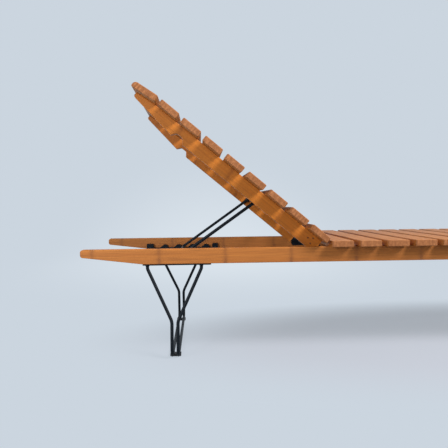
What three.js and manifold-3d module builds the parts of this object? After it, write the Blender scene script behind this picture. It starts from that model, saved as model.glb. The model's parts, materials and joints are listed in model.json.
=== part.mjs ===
// Sun lounger in laminated bamboo on bent steel rod legs, with a backrest that folds flat.
// Lengths are in millimetres. X runs from the head end to the foot end, Y to the left side of a
// person lying on it, Z up. The origin is on the floor below the middle of the bounding box.
import * as THREE from 'three';
import { mergeVertices } from 'three/addons/utils/BufferGeometryUtils.js';
import Module from 'manifold-3d';

const wasm = await Module();
wasm.setup();

// Driving dimensions of the whole lounger
const overallLength = 2025;
const frameWidth = 610;
const railTop = 360;
const slatOverhang = 35;
const reclineAngle = THREE.MathUtils.degToRad(39.8);

// Clearance between pieces that touch, and the overrun of every cut
const fit = 0.3;
const overrun = 5;

// Main side rails
const railHeight = 50;
const railThickness = 28;
const railTaperLength = 205;
const railTipHeight = 25;
const railNoseRadius = 8.5;
const railEdgeEase = 1.5;
const taperBendRadius = 160;

// Slats, which share one section except for the nose slats at the two ends. The head's nose slat
// is let into a bevel on the backrest rails, so that it tilts down towards the head.
const slatThickness = 21;
const slatEdgeRadius = 4;
const slatEndEase = 2.5;
const footSlatWidth = 84;
const footNoseRadius = 10;
const headSlatWidth = 89.5;
const headNoseRadius = 13;
const headSlatGap = 14;
const headSlatTilt = THREE.MathUtils.degToRad(6.4);
const headSlatLift = 0.6;
const backSlatWidth = 72.5;
const backSlatGap = 18.5;
const backSlatCount = 9;
const seatSlatGap = 20.3;
const seatSlatCount = 13;

// Backrest: its hinge axis and its own rails, which nest between the main rails
const hingeFromHead = 822;
const hingeBelowSlats = 11;
const hingePastSlats = 25.7;
const seatPastHinge = 5;
const laneWidth = 16;
const backRailHeight = 46.5;
const backRailThickness = 22;
const backRailTipInset = 10.7;
const backRailTipDepth = 22.5;
const backRailTipTopRadius = 6;
const backRailTipBottomRadius = 7.5;
const backRailTaperLength = 188;

// Notch in the backrest rail's underside, an arch over the cross bar when the backrest lies flat
const notchStart = 187.7;
const notchLength = 51;
const notchDepth = 18.5;
const notchFlankLength = 13.75;
const notchLipRadius = 4;
const notchFloorRadius = 9;

// Hinge: a steel tongue let into a saw kerf in the backrest rail, on a bolt through a fixed bracket
const tongueThickness = 4;
const tongueLength = 84;
const tongueDepth = 31;
const eyeRadius = 10;
const hingeBoltDiameter = 8;
const hingeBoltHeadDiameter = 16;
const hingeBoltHeadHeight = 5;
const kerfLength = 62;
const bracketThickness = 4;
const bracketLength = 78;
const bracketHeight = 38;
const bracketCornerRadius = 8;
const bracketSetback = 30;

// Prop: two rods welded to a cross bar, pivoting on the backrest rails
const rodDiameter = 11;
const propPivotFromHinge = 282.8;
const propLength = 338.5;
const propArmInset = 73;
const propBarAboveRack = 1;
const propBarEndGap = 0.6;
const propEyeDiameter = 18;
const propBoltDiameter = 6;
const propBoltDepth = 14;
const propBoltHeadDiameter = 12;
const propBoltHeadHeight = 3;

// Rack: a toothed bar on the inner face of each main rail
const rackThickness = 12;
const rackAboveRailBottom = 1;
const rackRootHeight = 8;
const rackStart = 164;
const rackEnd = 470.7;
const headStopLength = 29.7;
const footStopLength = 24.2;
const rackStopHeight = 17.5;
const rackStopRadius = 4;
const firstToothEnd = 258;
const toothPitch = 58.9;
const toothCount = 4;
const toothLength = 37;
const toothHeight = 14;
const toothTipLength = 12.5;
const toothTipRadius = 6;
const toothSteepRun = 7.5;

// Legs: two bent rods a pair, each of them one leg on both sides joined by a bar along the floor.
// The legs lean outwards, and their plates reach further towards mid-length.
const legCentreFromEnd = 308;
const legSpreadTop = 178.5;
const legSpreadFoot = 19.5;
const legBendHeight = 122;
const legLean = 45;
const legBendRadius = 45;
const legTopStraight = 12;
const legTopRadius = 14;
const legFootRadius = 28;
const legPlateLength = 227;
const legPlateOffset = 8.5;
const legPlateWidth = 26;
const legPlateThickness = 4;
const legPlateCornerRadius = 6;

// Glides: saddles under the floor bars just inside each foot
const glideLength = 26;
const glideHeight = 9;
const glideSole = 2;
const glideEdge = 5;
const glideInset = 52;

// Facets of round stretches
const rodSides = 10;
const arcSteps = 3;
const holeSteps = 12;

// Colours and finishes of the real surfaces
const bamboo = { color: 0xc07a35, roughness: 0.5, metalness: 0 };
const bambooLight = { color: 0xc98645, roughness: 0.5, metalness: 0 };
const blackSteel = { color: 0x22262b, roughness: 0.42, metalness: 0.6 };
const zincSteel = { color: 0x3a3d40, roughness: 0.35, metalness: 0.9 };
const blackNylon = { color: 0x17181a, roughness: 0.6, metalness: 0 };

// Places that follow from the sizes above, in the rail's own length coordinate from the head tip
const halfWidth = frameWidth / 2;
const railBottom = railTop - railHeight;
const slatLength = frameWidth + 2 * slatOverhang;
const hingeHeight = railTop - hingeBelowSlats;
const backRailOuter = halfWidth - railThickness - laneWidth;
const backRailMiddle = backRailOuter - backRailThickness / 2;
const backSlatPitch = backSlatWidth + backSlatGap;
const plainSlatsLength = (backSlatCount - 2) * backSlatPitch + backSlatWidth;
const backLength = headSlatWidth + headSlatGap + plainSlatsLength;
const backStart = hingeFromHead - hingePastSlats - backLength;
const seatStart = hingeFromHead + seatPastHinge;
const seatSlatPitch = (overallLength - footSlatWidth - seatStart) / (seatSlatCount - 1);
const seatSlatWidth = seatSlatPitch - seatSlatGap;
const rackRootTop = railBottom + rackAboveRailBottom + rackRootHeight;
const propBarHeight = rackRootTop + propBarAboveRack + rodDiameter / 2;
const legRailMiddle = halfWidth - railThickness / 2;
const rodRadius = rodDiameter / 2;
const propEyeLength = rodDiameter;
const floorBarHeight = glideSole + rodRadius;

const lounger = new THREE.Group();

function finish(look) {
  return new THREE.MeshStandardMaterial(look);
}

function place(parent, name, geometry, look) {
  const mesh = new THREE.Mesh(geometry, finish(look));
  mesh.name = name;
  parent.add(mesh);
  return mesh;
}

function solid(geometry) {
  const bare = geometry.clone();
  bare.deleteAttribute('normal');
  bare.deleteAttribute('uv');
  const merged = mergeVertices(bare);
  const triangles = merged.index.array;
  return new wasm.Manifold(new wasm.Mesh({
    numProp: 3,
    vertProperties: new Float32Array(merged.attributes.position.array),
    triVerts: new Uint32Array(triangles),
  }));
}

function geometryOf(body) {
  const mesh = body.getMesh();
  const geometry = new THREE.BufferGeometry();
  geometry.setAttribute('position', new THREE.BufferAttribute(mesh.vertProperties, 3));
  geometry.setIndex(new THREE.BufferAttribute(mesh.triVerts, 1));
  return geometry;
}

// A closed outline whose corners are [x, z, radius], each corner rounded by an arc
function outline(corners, path = new THREE.Shape()) {
  const count = corners.length;
  corners.forEach(([x, z, radius], i) => {
    const [px, pz] = corners[(i + count - 1) % count];
    const [nx, nz] = corners[(i + 1) % count];
    const corner = new THREE.Vector2(x, z);
    const back = new THREE.Vector2(px, pz).sub(corner).normalize();
    const ahead = new THREE.Vector2(nx, nz).sub(corner).normalize();
    const half = Math.acos(THREE.MathUtils.clamp(back.dot(ahead), -1, 1)) / 2;
    const reach = radius / Math.tan(half);
    const from = corner.clone().addScaledVector(back, reach);
    const to = corner.clone().addScaledVector(ahead, reach);
    if (i === 0) path.moveTo(from.x, from.y);
    else path.lineTo(from.x, from.y);
    if (radius > 0) {
      const inward = back.clone().add(ahead).normalize();
      const centre = corner.clone().addScaledVector(inward, radius / Math.sin(half));
      const start = Math.atan2(from.y - centre.y, from.x - centre.x);
      const end = Math.atan2(to.y - centre.y, to.x - centre.x);
      const clockwise = back.cross(ahead) > 0;
      path.absarc(centre.x, centre.y, radius, start, end, clockwise);
    }
  });
  path.closePath();
  return path;
}

// An outline in X and Z carried along Y, centred on the plane y, with its two faces' edges eased
function slab(shape, thickness, y, ease = 0, steps = arcSteps) {
  const geometry = new THREE.ExtrudeGeometry(shape, {
    depth: thickness - 2 * ease,
    curveSegments: steps,
    bevelEnabled: ease > 0,
    bevelThickness: ease,
    bevelSize: ease,
    bevelOffset: -ease,
    bevelSegments: 1,
  });
  geometry.translate(0, 0, ease - thickness / 2);
  geometry.rotateX(Math.PI / 2);
  geometry.translate(0, y, 0);
  return geometry;
}

// A round bar from one point to another
function bar(from, to, diameter, sides = rodSides) {
  const length = from.distanceTo(to);
  const geometry = new THREE.CylinderGeometry(diameter / 2, diameter / 2, length, sides);
  const turn = new THREE.Quaternion().setFromUnitVectors(
    new THREE.Vector3(0, 1, 0),
    to.clone().sub(from).normalize(),
  );
  geometry.applyQuaternion(turn);
  const middle = from.clone().add(to).multiplyScalar(0.5);
  geometry.translate(middle.x, middle.y, middle.z);
  return geometry;
}

function acrossBar(x, z, y0, y1, diameter, sides = rodSides) {
  return bar(new THREE.Vector3(x, y0, z), new THREE.Vector3(x, y1, z), diameter, sides);
}

// The centreline of a bent rod: straight runs between corners, each corner a circular bend
class BentRod extends THREE.Curve {
  constructor(corners, bendSteps) {
    super();
    this.points = [];
    this.tangents = [];
    corners.forEach(([point, radius], i) => {
      const before = i > 0 ? point.clone().sub(corners[i - 1][0]).normalize() : null;
      const after = i + 1 < corners.length ? corners[i + 1][0].clone().sub(point).normalize() : null;
      if (!before || !after) {
        this.points.push(point.clone());
        this.tangents.push((before ?? after).clone());
        return;
      }
      const angle = before.angleTo(after);
      const reach = radius * Math.tan(angle / 2);
      const inward = after.clone().sub(before).normalize();
      const centre = point.clone().addScaledVector(inward, radius / Math.cos(angle / 2));
      const arm = point.clone().addScaledVector(before, -reach).sub(centre);
      const axis = before.clone().cross(after).normalize();
      for (let k = 0; k <= bendSteps; k += 1) {
        const turn = (angle * k) / bendSteps;
        this.points.push(arm.clone().applyAxisAngle(axis, turn).add(centre));
        this.tangents.push(before.clone().applyAxisAngle(axis, turn));
      }
    });
  }

  getPoint(t, target = new THREE.Vector3()) {
    const place = t * (this.points.length - 1);
    const i = Math.min(Math.floor(place), this.points.length - 2);
    return target.lerpVectors(this.points[i], this.points[i + 1], place - i);
  }

  getPointAt(u, target) {
    return this.getPoint(u, target);
  }

  getTangentAt(u, target = new THREE.Vector3()) {
    return target.copy(this.tangents[Math.round(u * (this.tangents.length - 1))]);
  }
}

function rodAlong(path, diameter) {
  const section = new THREE.Shape();
  for (let k = 0; k < rodSides; k += 1) {
    const turn = (2 * Math.PI * k) / rodSides;
    const x = (diameter / 2) * Math.cos(turn);
    const y = (diameter / 2) * Math.sin(turn);
    if (k === 0) section.moveTo(x, y);
    else section.lineTo(x, y);
  }
  section.closePath();
  return new THREE.ExtrudeGeometry(section, {
    extrudePath: path,
    steps: path.points.length - 1,
    bevelEnabled: false,
  });
}

const sides = [['right', -1], ['left', 1]];
const alongX = (x) => x - overallLength / 2;

// The corner radii of a slat's section, from the lower head corner round to the upper head corner
const plainCorners = [slatEdgeRadius, slatEdgeRadius, slatEdgeRadius, slatEdgeRadius];
const headNoseCorners = [slatEdgeRadius, slatEdgeRadius, slatEdgeRadius, headNoseRadius];
const footNoseCorners = [slatEdgeRadius, footNoseRadius, footNoseRadius, slatEdgeRadius];

// A slat lies across the rails and overhangs them at both ends
function slatGeometry(start, width, bottom, radii = plainCorners) {
  const shape = outline([
    [start, bottom, radii[0]],
    [start + width, bottom, radii[1]],
    [start + width, bottom + slatThickness, radii[2]],
    [start, bottom + slatThickness, radii[3]],
  ]);
  return slab(shape, slatLength, 0, slatEndEase);
}

// A rail's head end rises from below to a round nose. The foot end of a main rail mirrors it.
function mainRailShape() {
  const head = [
    [alongX(railTaperLength), railBottom, taperBendRadius],
    [alongX(0), railTop - railTipHeight, railNoseRadius],
    [alongX(0), railTop, railNoseRadius],
  ];
  const foot = head.map(([x, z, r]) => [-x, z, r]).reverse();
  return outline([...foot, ...head].reverse());
}

function buildMainFrame(frame) {
  sides.forEach(([side, sign]) => {
    const rail = slab(mainRailShape(), railThickness, sign * legRailMiddle, railEdgeEase);
    place(frame, `main_rail_${side}`, rail, bamboo);
  });
  for (let i = 0; i < seatSlatCount; i += 1) {
    const last = i === seatSlatCount - 1;
    const width = last ? footSlatWidth : seatSlatWidth;
    const start = alongX(seatStart + i * seatSlatPitch);
    const radii = last ? footNoseCorners : plainCorners;
    const slat = slatGeometry(start, width, railTop + fit, radii);
    place(frame, `seat_slat_${i + 1}`, slat, bambooLight);
  }
}

// The rack is a strip with a stop block at each end and teeth that slope towards the head end.
// Each tooth's steep face holds the cross bar, which lies in the gap on its foot side.
function rackShape() {
  const bottom = railBottom + rackAboveRailBottom;
  const soft = rackRootHeight / 4;
  const toothTop = rackRootTop + toothHeight;
  const stopTop = rackRootTop + rackStopHeight;
  const corners = [
    [rackStart, bottom, soft],
    [rackStart, stopTop, rackStopRadius],
    [rackStart + headStopLength, stopTop, rackStopRadius],
    [rackStart + headStopLength, rackRootTop, soft],
  ];
  for (let i = 0; i < toothCount; i += 1) {
    const end = firstToothEnd + i * toothPitch;
    const tip = end - toothSteepRun;
    corners.push([end - toothLength, rackRootTop, soft]);
    corners.push([tip - toothTipLength, toothTop, toothTipRadius]);
    corners.push([tip, toothTop, toothTipRadius]);
    corners.push([end, rackRootTop, soft]);
  }
  corners.push([rackEnd - footStopLength, rackRootTop, soft]);
  corners.push([rackEnd - footStopLength, stopTop, rackStopRadius]);
  corners.push([rackEnd, stopTop, rackStopRadius]);
  corners.push([rackEnd, bottom, soft]);
  return outline(corners.map(([x, z, r]) => [alongX(x), z, r]).reverse());
}

function buildRacks(frame) {
  sides.forEach(([side, sign]) => {
    const middle = halfWidth - railThickness - fit - rackThickness / 2;
    place(frame, `rack_${side}`, slab(rackShape(), rackThickness, sign * middle), blackSteel);
  });
}

function legPath(centre, sign) {
  const top = railBottom - fit - legPlateThickness - fit;
  const corner = (x, y, z, radius) => [new THREE.Vector3(x, y, z), radius];
  const topX = centre + (sign * legSpreadTop) / 2;
  const footX = centre + (sign * legSpreadFoot) / 2;
  const leanStart = top - legTopStraight;
  const lean = (legLean * (leanStart - legBendHeight)) / (leanStart - floorBarHeight);
  const half = [
    corner(topX, -legRailMiddle, top, 0),
    corner(topX, -legRailMiddle, leanStart, legTopRadius),
    corner(footX, -legRailMiddle - lean, legBendHeight, legBendRadius),
    corner(footX, -legRailMiddle - legLean, floorBarHeight, legFootRadius),
  ];
  const mirrored = half.map(([p, r]) => [new THREE.Vector3(p.x, -p.y, p.z), r]).reverse();
  return new BentRod([...half, ...mirrored], arcSteps);
}

function legPlateGeometry(centre, y) {
  const halfLength = legPlateLength / 2;
  const halfBreadth = legPlateWidth / 2;
  const shape = outline([
    [centre - halfLength, y - halfBreadth, legPlateCornerRadius],
    [centre + halfLength, y - halfBreadth, legPlateCornerRadius],
    [centre + halfLength, y + halfBreadth, legPlateCornerRadius],
    [centre - halfLength, y + halfBreadth, legPlateCornerRadius],
  ]);
  const plate = new THREE.ExtrudeGeometry(shape, {
    depth: legPlateThickness,
    curveSegments: arcSteps,
    bevelEnabled: false,
  });
  plate.translate(0, 0, railBottom - fit - legPlateThickness);
  return plate;
}

// A glide is a saddle: the two floor bars lie in its grooves and its sole meets the floor
function glideGeometry(centre, y) {
  const breadth = legSpreadFoot + rodDiameter + 2 * glideEdge;
  const body = solid(slab(outline([
    [centre - breadth / 2, 0, glideEdge / 2],
    [centre + breadth / 2, 0, glideEdge / 2],
    [centre + breadth / 2, glideHeight, glideEdge / 2],
    [centre - breadth / 2, glideHeight, glideEdge / 2],
  ]), glideLength, y));
  const reach = glideLength / 2 + overrun;
  const grooves = [-1, 1].map((sign) => solid(acrossBar(
    centre + (sign * legSpreadFoot) / 2,
    floorBarHeight,
    y - reach,
    y + reach,
    rodDiameter + 4 * fit,
  )));
  return geometryOf(body.subtract(grooves[0]).subtract(grooves[1]));
}

function buildLegs(frame) {
  const ends = [
    ['head', alongX(legCentreFromEnd), 1],
    ['foot', alongX(overallLength - legCentreFromEnd), -1],
  ];
  ends.forEach(([end, centre, inward]) => {
    const outer = rodAlong(legPath(centre, -inward), rodDiameter);
    const inner = rodAlong(legPath(centre, inward), rodDiameter);
    place(frame, `${end}_leg_rod_outer`, outer, blackSteel);
    place(frame, `${end}_leg_rod_inner`, inner, blackSteel);
    sides.forEach(([side, sign]) => {
      const plateCentre = centre + inward * legPlateOffset;
      const plate = legPlateGeometry(plateCentre, sign * legRailMiddle);
      place(frame, `${end}_leg_plate_${side}`, plate, blackSteel);
      const inside = sign * (legRailMiddle + legLean - glideInset);
      place(frame, `${end}_glide_${side}`, glideGeometry(centre, inside), blackNylon);
    });
  });
}

// The fixed half of the hinge: a plate on the main rail with a boss that reaches the tongue
function buildHingeBrackets(frame) {
  const hingeX = alongX(hingeFromHead);
  const plateBottom = hingeHeight + eyeRadius - bracketHeight;
  sides.forEach(([side, sign]) => {
    const inner = halfWidth - railThickness - fit;
    const plate = solid(slab(outline([
      [hingeX - bracketSetback, plateBottom, bracketCornerRadius],
      [hingeX - bracketSetback + bracketLength, plateBottom, bracketCornerRadius],
      [hingeX - bracketSetback + bracketLength, plateBottom + bracketHeight, bracketCornerRadius],
      [hingeX - bracketSetback, plateBottom + bracketHeight, bracketCornerRadius],
    ]), bracketThickness, sign * (inner - bracketThickness / 2)));
    const bossEnd = backRailMiddle + tongueThickness / 2 + fit;
    const boss = solid(acrossBar(
      hingeX,
      hingeHeight,
      sign * (inner - bracketThickness / 2),
      sign * bossEnd,
      2 * eyeRadius,
      holeSteps,
    ));
    const hole = solid(acrossBar(
      hingeX,
      hingeHeight,
      sign * (inner + overrun),
      sign * (bossEnd - overrun),
      hingeBoltDiameter + 2 * fit,
      holeSteps,
    ));
    place(frame, `hinge_bracket_${side}`, geometryOf(plate.add(boss).subtract(hole)), blackSteel);
    const headSeat = backRailMiddle - tongueThickness / 2 - fit;
    const shank = solid(acrossBar(
      hingeX,
      hingeHeight,
      sign * inner,
      sign * (headSeat - hingeBoltHeadHeight / 2),
      hingeBoltDiameter,
      holeSteps,
    ));
    const head = solid(acrossBar(
      hingeX,
      hingeHeight,
      sign * headSeat,
      sign * (headSeat - hingeBoltHeadHeight),
      hingeBoltHeadDiameter,
      holeSteps,
    ));
    place(frame, `hinge_bolt_${side}`, geometryOf(shank.add(head)), zincSteel);
  });
}

// Inside the backrest, lengths run from the hinge axis, negative towards the head end when flat
const fromHinge = (x) => x - hingeFromHead;
const slatPlane = railTop + fit - hingeHeight;
const backRailTop = slatPlane - fit;
const backRailBottom = backRailTop - backRailHeight;
const backRailInner = backRailMiddle - backRailThickness / 2;
const backRailEnd = -hingePastSlats;
const backHead = fromHinge(backStart);
const propPivotHeight = (backRailTop + backRailBottom) / 2;

// The rail's top is bevelled under the tilted slat and its underside rises towards the tip. The
// notch straddles the place where that rise begins.
function backRailShape() {
  const bevelStart = backHead + headSlatWidth - headSlatLift / Math.tan(headSlatTilt);
  const tip = backHead + backRailTipInset;
  const tipTop = backRailTop - (bevelStart - tip) * Math.tan(headSlatTilt);
  const tipBottom = backRailTop - backRailTipDepth;
  const slope = (backRailHeight - backRailTipDepth) / backRailTaperLength;
  const rise = (x) => Math.max(0, tip + backRailTaperLength - x) * slope;
  const notchHead = backHead + notchStart;
  const notchFoot = notchHead + notchLength;
  const notchTop = backRailBottom + notchDepth;
  const ease = 2 * railEdgeEase;
  return outline([
    [backRailEnd, backRailTop, ease],
    [bevelStart, backRailTop, 0],
    [tip, tipTop, backRailTipTopRadius],
    [tip, tipBottom, backRailTipBottomRadius],
    [notchHead, backRailBottom + rise(notchHead), notchLipRadius],
    [notchHead + notchFlankLength, notchTop, notchFloorRadius],
    [notchFoot - notchFlankLength, notchTop, notchFloorRadius],
    [notchFoot, backRailBottom + rise(notchFoot), notchLipRadius],
    [backRailEnd, backRailBottom, ease],
  ]);
}

function buildBackRails(back) {
  sides.forEach(([side, sign]) => {
    const middle = sign * backRailMiddle;
    const wood = solid(slab(backRailShape(), backRailThickness, middle, railEdgeEase));
    const kerfMiddle = backRailEnd - kerfLength / 2 + overrun;
    const kerf = new THREE.BoxGeometry(
      kerfLength + 2 * overrun,
      tongueThickness + 2 * fit,
      backRailHeight + 2 * overrun,
    );
    kerf.translate(kerfMiddle, middle, propPivotHeight);
    const pivotHole = solid(acrossBar(
      -propPivotFromHinge,
      propPivotHeight,
      sign * (backRailInner - overrun),
      sign * (backRailInner + propBoltDepth + fit),
      propBoltDiameter + 2 * fit,
      holeSteps,
    ));
    const rail = wood.subtract(solid(kerf)).subtract(pivotHole);
    place(back, `backrest_rail_${side}`, geometryOf(rail), bamboo);
  });
}

// The head slat is turned about its lower foot edge, down towards the head
function headSlatGeometry() {
  const slat = slatGeometry(-headSlatWidth, headSlatWidth, 0, headNoseCorners);
  slat.rotateY(-headSlatTilt);
  slat.translate(backHead + headSlatWidth, 0, slatPlane + headSlatLift);
  return slat;
}

function buildBackSlats(back) {
  place(back, 'backrest_slat_1', headSlatGeometry(), bambooLight);
  for (let i = 1; i < backSlatCount; i += 1) {
    const start = backHead + headSlatWidth + headSlatGap + (i - 1) * backSlatPitch;
    const slat = slatGeometry(start, backSlatWidth, slatPlane);
    place(back, `backrest_slat_${i + 1}`, slat, bambooLight);
  }
}

// The tongue's outline, in shares of its length behind the hinge axis and of its depth below it,
// with each corner's radius as a share of the eye's
const tongueOutlineShares = [
  [-1, -0.5, 0.4],
  [-0.76, -0.92, 0.6],
  [-0.31, -1, 0.6],
  [0.19, -0.3, 0.8],
  [0.14, 0.22, 0.5],
  [-0.1, 0.22, 0.2],
  [-0.21, -0.11, 0.3],
  [-0.32, 0.24, 0.3],
  [-0.76, 0.24, 0.4],
  [-1, -0.08, 0.4],
];

function buildTongues(back) {
  const corners = tongueOutlineShares.map(([x, z, r]) => [
    x * tongueLength,
    z * tongueDepth,
    r * eyeRadius,
  ]);
  sides.forEach(([side, sign]) => {
    const middle = sign * backRailMiddle;
    const half = tongueThickness / 2;
    const reach = half + overrun;
    const holeDiameter = hingeBoltDiameter + 2 * fit;
    const leaf = solid(slab(outline([...corners].reverse()), tongueThickness, middle));
    const eye = acrossBar(0, 0, middle - half, middle + half, 2 * eyeRadius, holeSteps);
    const hole = acrossBar(0, 0, middle - reach, middle + reach, holeDiameter, holeSteps);
    const tongue = leaf.add(solid(eye)).subtract(solid(hole));
    place(back, `hinge_tongue_${side}`, geometryOf(tongue), blackSteel);
  });
}

// The angle of the prop to the backrest that puts its cross bar at the rack's height
function propTurn() {
  const lift = propPivotFromHinge * Math.sin(reclineAngle);
  const pivotHeight = hingeHeight + lift + propPivotHeight * Math.cos(reclineAngle);
  return -(Math.asin((pivotHeight - propBarHeight) / propLength) + reclineAngle);
}

function buildProp(back) {
  const armY = halfWidth - propArmInset;
  const eyeInner = armY - propEyeLength / 2;
  const eyeOuter = armY + propEyeLength / 2;
  const prop = new THREE.Group();
  prop.position.set(-propPivotFromHinge, 0, propPivotHeight);
  prop.rotation.y = propTurn();
  back.add(prop);
  const barEnd = halfWidth - railThickness - fit - rackThickness - propBarEndGap;
  let welded = solid(acrossBar(-propLength, 0, -barEnd, barEnd, rodDiameter));
  sides.forEach(([, sign]) => {
    const foot = new THREE.Vector3(-propLength, sign * armY, 0);
    const eyeSide = new THREE.Vector3(-propEyeDiameter / 4, sign * armY, 0);
    const eye = acrossBar(0, 0, sign * eyeInner, sign * eyeOuter, propEyeDiameter, holeSteps);
    welded = welded.add(solid(bar(foot, eyeSide, rodDiameter))).add(solid(eye));
  });
  sides.forEach(([, sign]) => {
    const near = sign * (eyeInner - overrun);
    const far = sign * (eyeOuter + overrun);
    const hole = acrossBar(0, 0, near, far, propBoltDiameter + 2 * fit, holeSteps);
    welded = welded.subtract(solid(hole));
  });
  place(prop, 'prop', geometryOf(welded), blackSteel);
}

// Each arm turns on a bolt driven into the rail from inside, with a washer between eye and rail
function buildPropPivots(back) {
  const armY = halfWidth - propArmInset;
  const eyeInner = armY - propEyeLength / 2;
  const eyeOuter = armY + propEyeLength / 2;
  const headSeat = eyeInner - fit;
  const round = (y0, y1, diameter) => solid(acrossBar(
    -propPivotFromHinge,
    propPivotHeight,
    y0,
    y1,
    diameter,
    holeSteps,
  ));
  sides.forEach(([side, sign]) => {
    const washer = round(sign * (backRailInner - fit), sign * (eyeOuter + fit), propEyeDiameter);
    const bore = round(
      sign * (backRailInner + overrun),
      sign * (eyeOuter - overrun),
      propBoltDiameter + 2 * fit,
    );
    place(back, `prop_bush_${side}`, geometryOf(washer.subtract(bore)), blackNylon);
    const shankEnd = backRailInner + propBoltDepth;
    const shank = round(sign * shankEnd, sign * headSeat, propBoltDiameter);
    const headEnd = headSeat - propBoltHeadHeight;
    const head = round(sign * headSeat, sign * headEnd, propBoltHeadDiameter);
    place(back, `prop_bolt_${side}`, geometryOf(shank.add(head)), zincSteel);
  });
}

buildMainFrame(lounger);
buildRacks(lounger);
buildLegs(lounger);
buildHingeBrackets(lounger);

const backrest = new THREE.Group();
backrest.position.set(alongX(hingeFromHead), 0, hingeHeight);
backrest.rotation.y = reclineAngle;
lounger.add(backrest);
buildBackRails(backrest);
buildBackSlats(backrest);
buildTongues(backrest);
buildProp(backrest);
buildPropPivots(backrest);

export default lounger;
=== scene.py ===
"""Sun lounger in oiled laminated bamboo on black bent-rod legs, its backrest up on a rod prop."""
import math

import bpy
import numpy as np
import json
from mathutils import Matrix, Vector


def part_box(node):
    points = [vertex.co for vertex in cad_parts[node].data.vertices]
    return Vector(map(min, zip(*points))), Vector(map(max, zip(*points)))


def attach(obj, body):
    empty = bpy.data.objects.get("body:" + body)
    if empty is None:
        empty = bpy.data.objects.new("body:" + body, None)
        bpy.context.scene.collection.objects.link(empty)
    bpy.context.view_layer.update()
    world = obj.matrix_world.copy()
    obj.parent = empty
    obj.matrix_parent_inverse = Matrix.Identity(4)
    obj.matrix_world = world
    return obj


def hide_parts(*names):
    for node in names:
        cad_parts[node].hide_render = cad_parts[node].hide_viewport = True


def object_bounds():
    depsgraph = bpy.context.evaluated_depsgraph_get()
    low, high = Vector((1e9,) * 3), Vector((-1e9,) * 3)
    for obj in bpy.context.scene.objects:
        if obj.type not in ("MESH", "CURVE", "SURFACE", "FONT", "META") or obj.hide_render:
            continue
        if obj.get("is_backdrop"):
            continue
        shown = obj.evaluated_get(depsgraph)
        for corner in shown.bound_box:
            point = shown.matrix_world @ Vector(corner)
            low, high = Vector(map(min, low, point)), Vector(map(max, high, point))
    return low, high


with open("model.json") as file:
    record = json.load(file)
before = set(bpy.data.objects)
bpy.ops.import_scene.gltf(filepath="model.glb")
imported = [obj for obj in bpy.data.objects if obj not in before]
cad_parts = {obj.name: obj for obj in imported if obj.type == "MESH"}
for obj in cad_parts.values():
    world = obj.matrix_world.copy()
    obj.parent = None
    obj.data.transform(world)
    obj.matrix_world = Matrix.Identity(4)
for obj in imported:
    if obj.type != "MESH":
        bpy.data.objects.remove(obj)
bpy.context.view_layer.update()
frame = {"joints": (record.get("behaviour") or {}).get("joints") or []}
scene = bpy.context.scene
pivots = {joint["name"]: np.array(joint["pos_m"]) for joint in frame["joints"]}

# Camera. A 45 mm lens a little above the seat, almost square to the long side, with the head end
# of the lounger at the left and the foot end out of the picture.
camera_data = bpy.data.cameras.new("camera")
camera_data.lens = 45.0
camera_data.sensor_width = 36.0
camera_data.shift_x = -0.0011
camera_data.shift_y = 0.0004
camera = bpy.data.objects.new("camera", camera_data)
camera.location = (-0.6172, -2.1532, 0.5118)
camera.rotation_euler = [math.radians(angle) for angle in (87.762, 0.652, -2.509)]
scene.collection.objects.link(camera)
scene.camera = camera


# Seat slats. Boards of laminated bamboo laid across the rails, planed, with rounded arrises and
# eased ends. The last one is wider and has a full round nose at the foot of the lounger.
SEAT_SLATS = 13
SLAT_EDGE = 0.0036
SLAT_END = 0.0022
PLAIN_SLAT = (SLAT_EDGE,) * 4
NOSE = 0.0098
FOOT_NOSE = (SLAT_EDGE, NOSE, NOSE, SLAT_EDGE)
EDGE_STEPS = 6
EASE_STEPS = 4
HOLD = 0.0006  # from each arc to the point that keeps the flat beside it flat
INNER_RING = 1.1  # how far an end face's innermost ring is drawn in, in eases

# The bamboo: the size of a strip, the spacing of the cane's nodes, and how many patches of each
# pattern there are to a metre
STRIP_WIDTH = 0.0178
STRIP_DEPTH = 0.0053
NODE_SPACING = 0.2196
NODE_SCAR = (0.0085, 0.001)  # how far from a node its scar fades out, and how near it is full
NODE_HALO = (0.019, 0.002)
NODE_WANDER = 0.008
FAINTEST_NODE = 0.32  # where the nodes of neighbouring strips lie together
FIBRES = 420.0  # 2.4 mm each
DRIFTS = 95.0  # 10.5 mm
BUNDLES = 900.0  # 1.1 mm
CLOUDS = 150.0  # 6.7 mm
ALONG_GRAIN = 0.02
STANDING = 0.75  # squeezes a slat's thickness into one strip's width, so that its strips stand


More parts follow.
